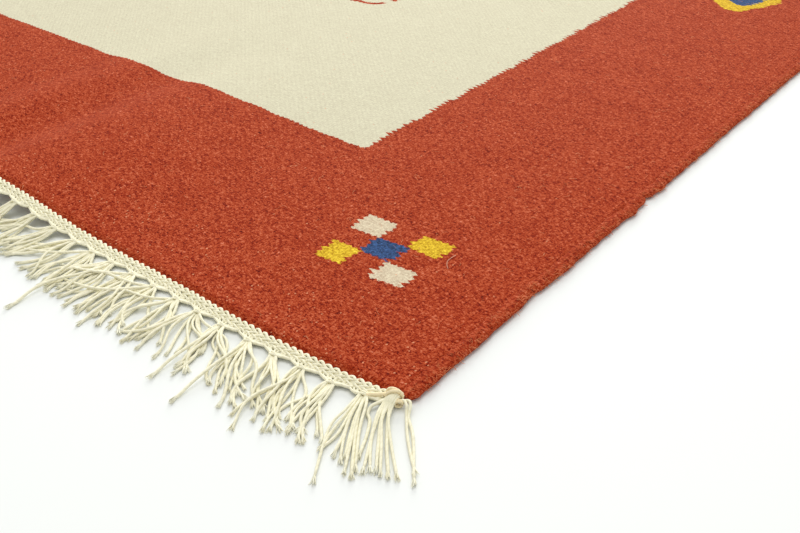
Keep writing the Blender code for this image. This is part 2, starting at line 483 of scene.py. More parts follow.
def weave_group():
    """Weft-faced plain weave: staggered stitches of several yarns each, hairy and uneven."""
    group, wires, source, target = new_group(
        "Weft faced weave",
        (("Position", "Vector"), ("Stitch Depth", "Float"), ("Yarn Depth", "Float")),
        (("Height", "Float"), ("Tone", "Float"), ("Across", "Float"), ("Along", "Float"),
         ("Peep", "Float"), ("Stitch Shade", "Float")),
    )
    position = source["Position"]
    sway = wires.node("TexNoise", {"Vector": position, "Scale": 110.0, "Detail": 3.0})
    swayed = {0: sway.outputs["Color"], 1: (0.5, 0.5, 0.5)}
    centred = wires.node("VectorMath", swayed, operation="SUBTRACT")
    scaled = wires.node("VectorMath", {0: centred.outputs[0], "Scale": 0.0026}, operation="SCALE")
    moved = wires.node("VectorMath", {0: position, 1: scaled.outputs[0]}, operation="ADD")
    x, y = wires.split(moved.outputs[0])

    # stitches: columns one warp wide, each column half a stitch on from the last
    across = wires.over(x, STITCH_WIDTH)
    column = wires.math("FLOOR", across)
    in_column = wires.minus(wires.minus(across, column), 0.5)
    stagger = wires.times(wires.math("PINGPONG", column, 1.0), 0.5)
    along = wires.total(wires.over(y, STITCH_LENGTH), stagger)
    stitch = wires.math("FLOOR", along)
    in_stitch = wires.minus(wires.minus(along, stitch), 0.5)
    round_across = wires.math("COSINE", wires.times(in_column, math.pi))
    round_along = wires.math("COSINE", wires.times(in_stitch, math.pi))
    crown = wires.power(wires.both(round_across, round_along), 0.6)
    stitch_random = wires.random(wires.vector(column, stitch, 1.0))

    # yarns: slanting ridges inside each stitch
    slant = wires.times(in_column, 0.9)
    yarn_up = wires.total(
        wires.over(y, YARN), slant, wires.times(stitch_random, 0.7)
    )
    yarn = wires.math("FLOOR", yarn_up)
    in_yarn = wires.minus(wires.minus(yarn_up, yarn), 0.5)
    ridge = wires.math("COSINE", wires.times(in_yarn, math.pi))
    yarn_random = wires.random(wires.vector(column, yarn, 2.0))

    # wool: clumps, fibres along the yarns and little curls
    clump = wires.noise(position, 230.0, 3.0, 0.75)
    fibre = wires.noise(wires.stretch(moved.outputs[0], (0.80, 1.0, 1.0)), 780.0, 3.0, 0.72)
    streak = wires.noise(wires.stretch(moved.outputs[0], (0.22, 1.0, 1.0)), 520.0, 2.0, 0.6)
    curl_noise = wires.noise(position, 360.0, 2.5, 0.6)
    curl_line = wires.positive(wires.minus(curl_noise, 0.5))
    curl = wires.both(
        wires.spread(curl_line, 0.0, 0.016, 1.0, 0.0), wires.spread(clump, 0.46, 0.60)
    )
    # painted shade: each stitch is darker towards its ends and sides, and the weft darker between its
    # yarns' ridges, as where shade falls in the weave's hollows
    painted_stitch_shade = wires.both(wires.spread(crown, 0.0, 1.0, -0.62, 0.30), source["Stitch Depth"])
    painted_yarn_shade = wires.both(wires.spread(ridge, 0.0, 1.0, -0.64, 0.36), source["Yarn Depth"])
    tone = wires.total(
        painted_stitch_shade,
        painted_yarn_shade,
        wires.spread(stitch_random, 0.0, 1.0, -0.05, 0.05),
        wires.spread(yarn_random, 0.0, 1.0, -0.14, 0.14),
        wires.spread(clump, 0.20, 0.80, -0.52, 0.52),
        wires.spread(streak, 0.20, 0.80, -0.26, 0.26),
        wires.spread(fibre, 0.20, 0.80, -0.95, 0.95),
        # the curls are painted lighter, as highlights on the wool's fibres
        wires.times(curl, 0.42),
        0.93,
    )
    height = wires.total(
        wires.both(crown, source["Stitch Depth"]),
        wires.both(ridge, source["Yarn Depth"]),
        wires.times(fibre, 0.9),
        wires.times(curl, 0.15),
    )
    # the warp may peep out between the ends of two stitches
    gap = wires.minus(0.5, wires.positive(in_stitch))
    round_hole = wires.total(
        wires.power(wires.over(in_column, 0.21), 2.0),
        wires.power(wires.over(gap, 0.13), 2.0),
    )
    hole = wires.less(round_hole, wires.spread(fibre, 0.35, 0.65, 0.3, 1.5))
    chance = wires.random(wires.vector(column, wires.math("ROUND", along), 3.0))
    wires.feed(target["Height"], height)
    wires.feed(target["Tone"], wires.math("MAXIMUM", tone, 0.16))
    wires.feed(target["Across"], across)
    wires.feed(target["Along"], wires.over(y, STITCH_LENGTH))
    wires.feed(target["Peep"], wires.both(hole, chance))
    # painted shade between stitches, for the colours laid over the red
    wires.feed(target["Stitch Shade"], wires.spread(crown, 0.0, 1.0, -0.6, 0.4))
    return group


def teeth(wires, along, seed):
    """Sideways reach of a dovetailed join: one pointed, uneven tooth to each stitch."""
    share = wires.math("FRACT", along)
    peak = wires.math("PINGPONG", wires.times(share, 2.0), 1.0)
    tooth_number = wires.math("FLOOR", along)
    size = wires.random(wires.vector(tooth_number, seed))
    reach = wires.both(peak, wires.spread(size, 0.0, 1.0, 0.25, 1.60))
    return wires.times(wires.minus(reach, 0.46), TOOTH_DEPTH)


def lozenge(wires, across, out_y, row):
    """A lozenge whose two sides may spread at different slopes, each to its own width."""
    shape = dict(zip(SIDE_MOTIF_COLUMNS, row))
    reach = wires.minus(shape["half_y"], out_y)
    mask = wires.more(reach, 0.0)
    for way, side in ((1.0, "outer"), (-1.0, "inner")):
        ramp = wires.math("MULTIPLY_ADD", reach, shape[side + "_slope"], shape["tip"])
        width = wires.math("MINIMUM", ramp, shape[side + "_widest"])
        mask = wires.both(mask, wires.less(wires.times(across, way), width))
    return mask


def motif_checks(wires, x, y):
    """Five checks set as on a die: masks for the middle, and for each diagonal pair."""
    cell_x = wires.math("ROUND", wires.over(x, CHECK_X))
    cell_y = wires.math("ROUND", wires.over(y, CHECK_Y))
    product = wires.both(cell_x, cell_y)
    ring_x = wires.math("COMPARE", wires.positive(cell_x), 1.0, 0.1)
    ring_y = wires.math("COMPARE", wires.positive(cell_y), 1.0, 0.1)
    corners = wires.both(ring_x, ring_y)
    middle = wires.both(
        wires.less(wires.positive(cell_x), 0.5), wires.less(wires.positive(cell_y), 0.5)
    )
    with_edge = wires.both(corners, wires.more(product, 0.5))
    against_edge = wires.both(corners, wires.less(product, -0.5))
    return middle, with_edge, against_edge


def chart_group():
    """The rug's design, as masks for the four colours laid over the red."""
    group, wires, source, target = new_group(
        "Rug chart",
        (("Position", "Vector"), ("Across", "Float"), ("Along", "Float")),
        (("Ecru", "Float"), ("Yellow", "Float"), ("Blue", "Float"), ("White", "Float")),
    )
    # hairs and slack blur each colour's edge a little
    fuzz = wires.node("TexNoise", {"Vector": source["Position"], "Scale": 900.0, "Detail": 2.0})
    slack = wires.node("TexNoise", {"Vector": source["Position"], "Scale": 45.0, "Detail": 1.0})
    fuzz_x, fuzz_y = wires.split(fuzz.outputs["Color"])
    slack_x, slack_y = wires.split(slack.outputs["Color"])
    place_x, place_y = wires.split(source["Position"])
    x = wires.total(
        place_x,
        wires.spread(fuzz_x, 0.35, 0.65, -0.0009, 0.0009),
        wires.spread(slack_x, 0.35, 0.65, -0.0016, 0.0016),
    )
    rounds = wires.math("COSINE", wires.times(source["Across"], math.pi))
    y = wires.total(
        place_y,
        wires.spread(fuzz_y, 0.35, 0.65, -0.0008, 0.0008),
        wires.spread(slack_y, 0.35, 0.65, -0.0009, 0.0009),
        wires.times(rounds, SCALLOP),
    )
    out_x, out_y = wires.positive(x), wires.positive(y)
    field_teeth = teeth(wires, source["Along"], 1.0)
    motif_teeth = wires.times(teeth(wires, source["Along"], 2.0), 0.85)

    field = wires.both(
        wires.less(wires.total(out_x, field_teeth), FIELD_HALF_X), wires.less(out_y, FIELD_HALF_Y)
    )

    from_motif_x = wires.total(out_x, -CORNER_MOTIF_X, motif_teeth)
    slanted = wires.times(from_motif_x, CORNER_MOTIF_SLANT)
    from_motif_y = wires.total(out_y, -CORNER_MOTIF_Y, slanted)
    blue, white, yellow = motif_checks(wires, from_motif_x, from_motif_y)
    yellow = wires.both(yellow, wires.more(from_motif_x, -1.38 * CHECK_X))

    across = wires.total(out_x, -SIDE_MOTIF_X, motif_teeth)
    outline, heart = (lozenge(wires, across, out_y, row) for row in (SIDE_MOTIF, SIDE_HEART))
    # a like lozenge, evenly drawn, lies in the middle of the field
    middle_outline, middle_heart = (
        lozenge(wires, x, out_y, row) for row in (MIDDLE_MOTIF, MIDDLE_HEART)
    )
    blue = wires.math("MAXIMUM", blue, wires.math("MAXIMUM", heart, middle_heart))
    yellow = wires.total(
        yellow,
        wires.minus(outline, heart),
        wires.minus(middle_outline, middle_heart),
    )

    # field figure: a tall stepped medallion drawn with one red line
    step_out, step_along = FIGURE_STEP
    round_from, roundness = FIGURE_ROUND
    past = wires.math("MAXIMUM", wires.minus(out_x, round_from), 0.0)
    curl = wires.math("MINIMUM", wires.times(wires.both(past, past), roundness), 0.0160)
    figure_y = wires.total(out_y, curl)
    figure_x = wires.positive(wires.total(x, motif_teeth))
    shapes = []
    for inset_x, inset_y in ((0.0, 0.0), FIGURE_LINE):
        reach = wires.minus(FIGURE_HALF_Y - inset_y, figure_y)
        steps = wires.math("FLOOR", wires.over(reach, step_along))
        width = wires.math(
            "MULTIPLY_ADD", wires.math("MINIMUM", steps, 3.0), step_out, FIGURE_TIP - inset_x
        )
        shapes.append(wires.both(wires.less(figure_x, width), wires.more(reach, 0.0)))
    beside_bar = wires.more(out_x, FIGURE_BAR)
    before_bar = wires.less(out_y, FIGURE_GAP[1])
    open_end = wires.both(
        wires.more(out_y, FIGURE_GAP[0]), wires.math("MAXIMUM", beside_bar, before_bar)
    )
    figure = wires.both(
        wires.minus(shapes[0], shapes[1]), wires.minus(1.0, open_end)
    )
    wires.feed(target["Ecru"], wires.minus(field, figure))
    wires.feed(target["Yellow"], yellow)
    wires.feed(target["Blue"], blue)
    wires.feed(target["White"], white)
    return group


def wool_material(name, weave, chart, stitch_depth, yarn_depth):
    """Matt hand-dyed wool; with a chart it has the rug's design, without one it is plain red."""
    material, wires, shader = new_material(name, 0.95, sheen=0.04)
    shader.inputs["Sheen Tint"].default_value = (1.0, 0.70, 0.45, 1.0)
    position = wires.node("UVMap", uv_map="weave").outputs[0]
    threads = place_group(wires, weave, {
        "Position": position, "Stitch Depth": stitch_depth, "Yarn Depth": yarn_depth,
    })
    # passes of weft differ a little, and so do whole patches
    weft_way = wires.stretch(position, (0.06, 1.0, 1.0))
    passes = wires.spread(wires.noise(weft_way, 260.0, 2.0, 0.6), 0.3, 0.7, -0.06, 0.06)
    patches = wires.spread(wires.noise(position, 30.0, 4.0, 0.7), 0.3, 0.7, -0.09, 0.09)
    tone = wires.total(threads["Tone"], passes, patches)
    # a lighter tone is paler and a darker one more strongly coloured, both in the wool's own mottling
    # and in its painted shade and highlights
    red_tones = {
        "Red": wires.power(tone, 0.92),
        "Green": wires.power(tone, 2.4),
        "Blue": wires.power(tone, 3.8),
    }
    color = wires.blend(1.0, RED, wires.node("CombineColor", red_tones).outputs[0], "MULTIPLY")
    if chart:
        masks = place_group(wires, chart, {
            "Position": position, "Across": threads["Across"], "Along": threads["Along"],
        })
        for mask, dye, depth, green, blue in (
            ("Ecru", ECRU, 0.19, 1.2, 1.3),
            ("White", WHITE, 0.34, 1.3, 1.4),
            ("Yellow", YELLOW, 0.60, 1.4, 2.6),
            ("Blue", BLUE, 1.00, 1.1, 1.1),
        ):
            # each colour over the red also takes a little painted shade between stitches
            level = wires.total(
                wires.spread(tone, 0.0, 2.0, 1.0 - depth, 1.0 + depth),
                wires.times(threads["Stitch Shade"], 0.05),
            )
            factor = wires.node("CombineColor", {
                "Red": level,
                "Green": wires.power(level, green),
                "Blue": wires.power(level, blue),
            })
            dyed = wires.blend(1.0, dye, factor.outputs[0], "MULTIPLY")
            color = wires.blend(masks[mask], color, dyed)
        # the warp peeps out near the ends, in patches, and very rarely elsewhere
        _, y = wires.split(position)
        near_end = wires.spread(wires.positive(y), 0.815, 0.890)
        patch = wires.spread(wires.noise(position, 26.0, 1.0), 0.46, 0.60)
        chance = wires.minus(0.992, wires.times(wires.both(near_end, patch), 0.34))
        peeping = wires.more(threads["Peep"], chance)
        color = wires.blend(wires.times(peeping, 0.70), color, FLECK)
    wires.feed(shader.inputs["Base Color"], color)
    relief = wires.node("Bump", {"Height": threads["Height"], "Distance": 0.0005, "Strength": 0.9})
    wires.feed(shader.inputs["Normal"], relief.outputs[0])
    return material


def cotton_material(name, ply_pitch, color):
    """Two-ply cotton yarn: a slanting groove that runs round the strand, painted darker as shade."""
    material, wires, shader = new_material(name, 0.9, sheen=0.04)
    u, v = wires.split(wires.node("UVMap", uv_map="along_yarn").outputs[0])
    turn = wires.total(wires.times(u, 2.0), wires.over(v, 0.5 * ply_pitch))
    ply = wires.positive(wires.math("SINE", wires.times(turn, 0.5 * math.pi)))
    place = wires.node("TexCoord").outputs["Object"]
    fuzz = wires.noise(place, 2200.0, 3.0, 0.7)
    cloud = wires.noise(place, 150.0, 2.0)
    # the groove between the plies is painted darker, as shade; fuzz and cloud are the yarn's own
    # unevenness
    shade = wires.total(
        wires.spread(ply, 0.0, 0.6, 0.93, 1.0),
        wires.spread(fuzz, 0.3, 0.7, -0.07, 0.07),
        wires.spread(cloud, 0.3, 0.7, -0.05, 0.05),
    )
    tones = {"Red": shade, "Green": shade, "Blue": wires.power(shade, 1.4)}
    paint = wires.node("CombineColor", tones)
    wires.feed(shader.inputs["Base Color"], wires.blend(1.0, color, paint.outputs[0], "MULTIPLY"))
    height = wires.total(ply, wires.times(fuzz, 1.1))
    relief = wires.node("Bump", {"Height": height, "Distance": 0.0003, "Strength": 0.5})
    wires.feed(shader.inputs["Normal"], relief.outputs[0])
    return material


def fibre_material(name, deep, light):
    """Loose hairs, each lighter or darker along its length."""
    material, wires, shader = new_material(name, 0.8)
    place = wires.node("TexCoord").outputs["Object"]
    cloud = wires.spread(wires.noise(place, 90.0, 2.0), 0.35, 0.65)
    wires.feed(shader.inputs["Base Color"], wires.blend(cloud, deep, light))
    return material


def floor_material():
    """Smooth white floor."""
    material, wires, shader = new_material("white_floor", 0.7)
    place = wires.node("TexCoord").outputs["Object"]
    grain = wires.spread(wires.noise(place, 3.0), 0.3, 0.7, 0.985, 1.0)
    paint = wires.node("CombineColor", {"Red": grain, "Green": grain, "Blue": grain})
    white = wires.blend(1.0, FLOOR_WHITE, paint.outputs[0], "MULTIPLY")
    wires.feed(shader.inputs["Base Color"], white)
    return material


# ---- wool ---------------------------------------------------------------------------------------
WEB_INSET = 0.0050          # the sheet's edge lies inside the selvedge rolls
WEB_CELL = 0.010


def sheet_height(x, y):
    """Height of the web's upper face, with the small puckers of hand weaving."""
    pucker = 0.00030 * wander((x, y, 0), 0.045, 1) + 0.00022 * wander((x, y, 0), 0.018, 2)
    return lift(x, y) + WEB_THICK + pucker


def make_web(material):
    """The woven sheet, on the frame's ripples."""
    half_x, half_y = 0.5 * RUG_WIDTH - WEB_INSET, 0.5 * RUG_LENGTH
    columns, lines = round(2 * half_x / WEB_CELL), round(2 * half_y / WEB_CELL)
    points, flat_places, faces = [], [], []
    for line in range(lines + 1):
        for column in range(columns + 1):
            x = -half_x + 2 * half_x * column / columns
            y = -half_y + 2 * half_y * line / lines
            moved_y = on_web(x, y)
            points.append((x, moved_y, sheet_height(x, moved_y)))
            flat_places.append((x, y))
    for line in range(lines):
        for column in range(columns):
            corner = line * (columns + 1) + column
            faces.append((corner, corner + 1, corner + columns + 2, corner + columns + 1))
    mesh = bpy.data.meshes.new("wool_web")
    mesh.from_pydata(points, [], faces)
    mesh.uv_layers.new(name="weave")
    uvs = np.array([flat_places[loop.vertex_index] for loop in mesh.loops], dtype=np.float32)
    mesh.uv_layers[0].data.foreach_set("uv", uvs.ravel())
    piece = link_piece("wool_web", mesh, material)
    bpy.ops.object.select_all(action="DESELECT")
    bpy.context.view_layer.objects.active = piece
    piece.select_set(True)
    thickness = piece.modifiers.new("web_thickness", "SOLIDIFY")
    thickness.thickness = WEB_THICK - 0.0008
    thickness.offset = -1.0
    bpy.ops.object.modifier_apply(modifier=thickness.name)
    return piece


SELVEDGE_HALF = (0.0062, 0.0025)
SELVEDGE_SIDES = 16
SELVEDGE_RING = 0.0030
TAPER_RINGS = 3

# Where the right edge bulges out or is drawn in, along its length.
EDGE_MARK_COLUMNS = ("y", "out", "reach")
EDGE_MARKS = (
    (-0.596, 0.0026, 0.014),
    (-0.566, -0.0030, 0.007),
    (-0.540, 0.0016, 0.012),
    (-0.745, -0.0014, 0.010),
)


def selvedge_centre(side, y):
    """Middle of the roll, and how much fuller than usual it is there."""
    sway = 0.0011 * wander((0, y, side), 0.065, 7) + 0.0008 * wander((0, y, side), 0.013, 8)
    if side > 0:
        for mark in rows(EDGE_MARK_COLUMNS, EDGE_MARKS):
            sway += mark["out"] * bump(y - mark["y"], mark["reach"])
    swell = 0.14 * wander((0, y, side), 0.009, 5) + 0.08 * wander((0, y, side), 0.040, 6)
    x = side * (0.5 * RUG_WIDTH - SELVEDGE_HALF[0] + sway)
    return x, on_web(side * 0.5 * RUG_WIDTH, y), swell


def make_selvedge(side, material):
    """Weft turned round doubled edge warps: a soft, lumpy roll, flush with the web."""
    rings = round(RUG_LENGTH / SELVEDGE_RING)
    points, faces, uvs = [], [], []
    for ring in range(rings + 1):
        y = -0.5 * RUG_LENGTH + RUG_LENGTH * ring / rings
        x, moved_y, swell = selvedge_centre(side, y)
        from_end = min(ring, rings - ring, TAPER_RINGS) / TAPER_RINGS
        full = (1.0 + swell) * (0.55 + 0.45 * math.sin(0.5 * math.pi * from_end))
        for index in range(SELVEDGE_SIDES):
            angle = 2 * math.pi * index / SELVEDGE_SIDES
            points.append((
                x + side * SELVEDGE_HALF[0] * full * math.cos(angle),
                moved_y,
                SELVEDGE_HALF[1] * (1.06 + full * math.sin(angle)),
            ))
    around = math.pi * sum(SELVEDGE_HALF)
    for ring in range(rings):
        y0, y1 = (-0.5 * RUG_LENGTH + RUG_LENGTH * (ring + step) / rings for step in (0, 1))
        for index in range(SELVEDGE_SIDES):
            following = (index + 1) % SELVEDGE_SIDES
            low, high = ring * SELVEDGE_SIDES, (ring + 1) * SELVEDGE_SIDES
            face = (low + index, low + following, high + following, high + index)
            u0, u1 = around * index / SELVEDGE_SIDES, around * (index + 1) / SELVEDGE_SIDES
            corners = ((u0, y0), (u1, y0), (u1, y1), (u0, y1))
            if side > 0:
                face, corners = face[::-1], corners[::-1]
            faces.append(face)
            uvs.extend(corners)
    first = tuple(range(SELVEDGE_SIDES))
    last = tuple(rings * SELVEDGE_SIDES + index for index in range(SELVEDGE_SIDES))
    for cap, y in ((first if side > 0 else first[::-1], 0.0), (last[::-1] if side > 0 else last, 1.0)):
        faces.append(cap)
        uvs.extend((0.001 * index, y) for index in range(SELVEDGE_SIDES))
    name = "selvedge_right" if side > 0 else "selvedge_left"
    mesh = bpy.data.meshes.new(name)
    mesh.from_pydata(points, [], faces)
    mesh.uv_layers.new(name="weave")
    mesh.uv_layers[0].data.foreach_set("uv", np.asarray(uvs, dtype=np.float32).ravel())
    return link_piece(name, mesh, material)


HAIR_RADIUS = 0.00010
HAIR_STEPS = 4
WEB_HAIRS = 3600
EDGE_HAIRS = 6800
LONG_HAIR_RADIUS = 0.00020


def curled_hair(hairs, place, heading, size, rise, rng):
    """One fine hair, lying in a curve and standing a little off the surface."""
    x, y, z = place
    turn = rng.choice((-1, 1)) * rng.uniform(0.3, 2.6)
    path = []
    for step in range(HAIR_STEPS + 1):
        share = step / HAIR_STEPS
        path.append((x, y, z + rise * math.sin(math.pi * min(1.0, share * 1.2)) ** 0.8))
        heading += turn / HAIR_STEPS
        x += size / HAIR_STEPS * math.cos(heading)
        y += size / HAIR_STEPS * math.sin(heading)
    hairs.add(path, HAIR_RADIUS * rng.uniform(0.6, 1.5), sides=3, capped=False)


def make_web_hairs(material):
    """Hairs that have worked loose over the web, outside its field."""
    rng = random.Random(7)
    hairs = Yarns("wool_hairs")
    half_x, half_y = 0.5 * RUG_WIDTH - 0.006, 0.5 * RUG_LENGTH - 0.003
    for _ in range(WEB_HAIRS):
        x, y = rng.uniform(-half_x, half_x), rng.uniform(-half_y, half_y)
        if abs(x) < FIELD_HALF_X and abs(y) < FIELD_HALF_Y:
            continue
        place = (x, y, sheet_height(x, y))
        curled_hair(hairs, place, rng.uniform(0, 2 * math.pi), rng.uniform(0.003, 0.009),
                    rng.uniform(0.0004, 0.0011), rng)
    return hairs.finish(material)


def make_long_hair(material):
    """One long cream hair, lying by the front right corner's motif."""
    hair = Yarns("long_hair")
    path = []
    for number, row in enumerate(rows(LONG_HAIR_COLUMNS, LONG_HAIR)):
        x, y = 0.5 * RUG_WIDTH - row["inward"], row["from_end"] - 0.5 * RUG_LENGTH
        path.append((x, y, sheet_height(x, y) + 0.0009 - 0.0002 * (number % 2)))
    hair.add(curve_through(path, 4), LONG_HAIR_RADIUS, sides=4)
    return hair.finish(material)


def make_edge_hairs(material):
    """Fuzz along both selvedges."""
    rng = random.Random(8)
    hairs = Yarns("edge_fuzz")
    half_y = 0.5 * RUG_LENGTH - 0.003
    for _ in range(EDGE_HAIRS):
        side = rng.choice((-1, 1))
        y = rng.uniform(-half_y, half_y)
        angle = rng.uniform(-0.2, 1.9)
        x, moved_y, _ = selvedge_centre(side, y)
        place = (
            x + side * SELVEDGE_HALF[0] * math.cos(angle),
            moved_y,
            SELVEDGE_HALF[1] * (1.06 + math.sin(angle)),
        )
        heading = (0.5 + rng.choice((0, 1))) * math.pi + rng.uniform(-1.1, 1.1)
        curled_hair(hairs, place, heading, rng.uniform(0.002, 0.0055), rng.uniform(0.0, 0.0012), rng)
    return hairs.finish(material)


# ---- cotton ----------------------------------------------------------------------------------------
# Rows of twining: how far each is from the web's end, its height, its yarn, and how far its
# stitches slant outward and rise.
TWINE_COLUMNS = ("out", "level", "yarn", "slant", "rise")
TWINE_ROWS = (
    (0.0010, 0.0036, 0.00108, 0.00150, 0.00100),
    (0.0035, 0.0030, 0.00100, 0.00105, 0.00095),
    (0.0057, 0.0026, 0.00092, 0.00085, 0.00085),
)
HEADING_INSET = 0.0165


def make_heading(end, material):
    """Rows of two cotton yarns twined round each other, slanting by turns left and right."""
    sign = END_SIGN[end]
    heading = Yarns("heading_" + end)
    steps_per_turn = 10
    edge = 0.5 * RUG_WIDTH - HEADING_INSET
    steps = round(2 * edge / TWINE_PITCH * steps_per_turn)
    for number, row in enumerate(rows(TWINE_COLUMNS, TWINE_ROWS)):
        turn_way = sign * (-1 if number % 2 else 1)
        for ply in (0, math.pi):
            path, sizes = [], []
            for step in range(steps + 1):
                x = -edge + 2 * edge * step / steps
                slip = 0.9 * wander((x, number, 0), 0.020, 12)
                turn = turn_way * 2 * math.pi * step / steps_per_turn + ply + 1.3 * number + slip
                uneven = 0.00060 * wander((x, number, 0), 0.011, 11)
                y = end_line(end, x) + sign * (row["out"] + uneven + row["slant"] * math.cos(turn))
                path.append((x, y, lift(x, y) + row["level"] + row["rise"] * math.sin(turn)))
                sizes.append(row["yarn"] * (1.0 + 0.18 * wander((x, y, ply), 0.005, 13)))
            heading.add(path, sizes, sides=7)
    return heading.finish(material)


def bundle_rows(end, rng):
    """Every knotted bundle of one end, charted by the front right corner and drawn elsewhere."""
    half = 0.5 * RUG_WIDTH
    charted = rows(BUNDLE_COLUMNS, BUNDLES_CHARTED)
    pitch = (RUG_WIDTH - 2 * FIRST_BUNDLE) / (BUNDLES - 1)
    turn = 1 if end == "front" else -1
    for index in range(BUNDLES):
        if end == "front" and index < len(charted):
            row = charted[index]
        else:
            place = index * pitch
            drift = 24 * math.sin(place * 7.0 + (0.8 if end == "front" else 2.6))
            row = {
                "from_edge": FIRST_BUNDLE + pitch * index + rng.uniform(-0.0012, 0.0012),
                "root_lean": 0.5 * drift + rng.uniform(-10, 10),
                "tip_lean": drift + rng.uniform(-24, 24),
                "length": rng.uniform(0.046, 0.053),
                "fan": rng.uniform(28, 54),
            }
        yield {**row, "number": index + 1, "x": turn * (half - row["from_edge"]), "turn": turn}


def lie_down(start, leans, length, sign, layer, rng):
    """A strand's route from its knot: it drops to the floor, then lies on it in soft curves."""
    steps = 16
    x, y, z = start
    root_lean, tip_lean = leans
    wave, swing = rng.uniform(0, 2 * math.pi), rng.uniform(0.12, 0.50)
    turns = rng.uniform(3.0, 7.5)
    fall = rng.uniform(0.32, 0.55)
    path = []
    for step in range(steps + 1):
        share = step / steps
        drop = max(0.0, 1.0 - share / fall) ** 1.7
        rest = STRAND_RADIUS + layer * math.sin(math.pi * min(1.0, share * 1.12)) ** 0.7
        path.append((x, y, rest + (z - STRAND_RADIUS) * drop))
        heading = math.radians(root_lean + (tip_lean - root_lean) * share)
        heading += swing * (math.sin(wave + turns * share) - math.sin(wave) * (1 - share))
        x += length / steps * math.sin(heading)
        y += sign * length / steps * math.cos(heading)
    return path


def strand_sizes(path, rng):
    """A strand's uneven thickness, drawn in where it frays."""
    full = STRAND_RADIUS * rng.uniform(0.90, 1.10)
    seed = rng.uniform(0, 90)
    sizes = [full * (1.0 + 0.11 * wander(point, 0.0031, seed)) for point in path]
    sizes[-1] *= 0.65
    return sizes


def fray(tufts, path, rng):
    """Brush out a strand's end into a soft tuft of fibres."""
    end, before = Vector(path[-1]), Vector(path[-3])
    way = (end - before).normalized()
    flat = way.cross(Vector((0, 0, 1))).normalized()
    above = flat.cross(way)
    for _ in range(FRAY_FIBRES):
        across, up = rng.uniform(-1, 1), rng.uniform(-0.5, 1)
        heading = (way + 0.21 * across * flat + 0.16 * up * above).normalized()
        bend = rng.uniform(-0.14, 0.14) * flat - 0.08 * above
        size = rng.uniform(0.0042, 0.0068)
        start = end - FRAY_BACK * way + 0.0007 * (across * flat + up * above)
        fibre = []
        for share in (0.0, 0.5, 1.0):
            point = start + (heading + bend * share) * size * share
            fibre.append((point.x, point.y, max(point.z, 0.0004)))
        tufts.add(fibre, FRAY_RADII, sides=3, capped=False)


def tie_turns(knots, centre, way, reach, yarn, turns, rng):
    """Turns of yarn round a bundle, seen from the side as tilted rings."""
    way = Vector(way).normalized()
    flat = way.cross(Vector((0, 0, 1))).normalized()
    above = flat.cross(way)
    for turn in range(turns):
        along = (turn - 0.5 * (turns - 1)) * yarn * 1.7
        tilt = (0.42 if turn % 2 else -0.42) + rng.uniform(-0.1, 0.1)
        ring = []
        for step in range(17):
            angle = 2 * math.pi * step / 16
            point = Vector(centre) + way * (along + tilt * reach[0] * math.cos(angle) * 0.6)
            point += flat * reach[0] * math.cos(angle) + above * reach[1] * math.sin(angle)
            ring.append((point.x, point.y, max(point.z, yarn)))
        knots.add(ring, yarn, sides=7, capped=False)


def by_corner(end, side, inward, outward, z):
    """A place by a corner: how far inward of the selvedge and beyond the web's end, in mm."""
    return (
        side * (0.5 * RUG_WIDTH - 0.001 * inward),
        END_SIGN[end] * (0.5 * RUG_LENGTH + 0.001 * outward),
        0.001 * z,
    )


def laid(end, side, starts, row, layer, rng):
    """A charted strand: on from its start, through its bend, to its tip."""
    ways = []
    for place, z in (("via", 2.0 + layer), ("bend", 1.3 + 0.5 * layer), ("tip", 1.1)):
        inward = row[place + "_side"] + rng.uniform(-1.2, 1.2)
        outward = row[place + "_end"] + rng.uniform(-1.2, 1.2)
        ways.append(by_corner(end, side, inward, outward, z))
    return curve_through((*starts, *ways), 5)


def gathered(end, bundle, knot, share, rng):
    """A warp's way from the heading in to its bundle's knot."""
    sign = END_SIGN[end]
    top_x = bundle["x"] + share * (STRANDS - 1) * STITCH_WIDTH + rng.uniform(-0.0005, 0.0005)
    top = end_line(end, top_x)
    height = lift(top_x, top) + 0.0022
    spot = (
        bundle["x"] + share * 0.0050,
        knot[1],
        knot[2] + 0.0008 * (1 if round(share * 14) % 2 else -1) * (1 - abs(share)),
    )
    return curve_through((
        (top_x, top + sign * 0.0050, height),
        (top_x - share * 0.0015, top + sign * 0.0082, height + 0.0002),
        (bundle["x"] + share * 0.0125, top + sign * 0.0100, height + 0.0003),
        spot,
    ), 2)


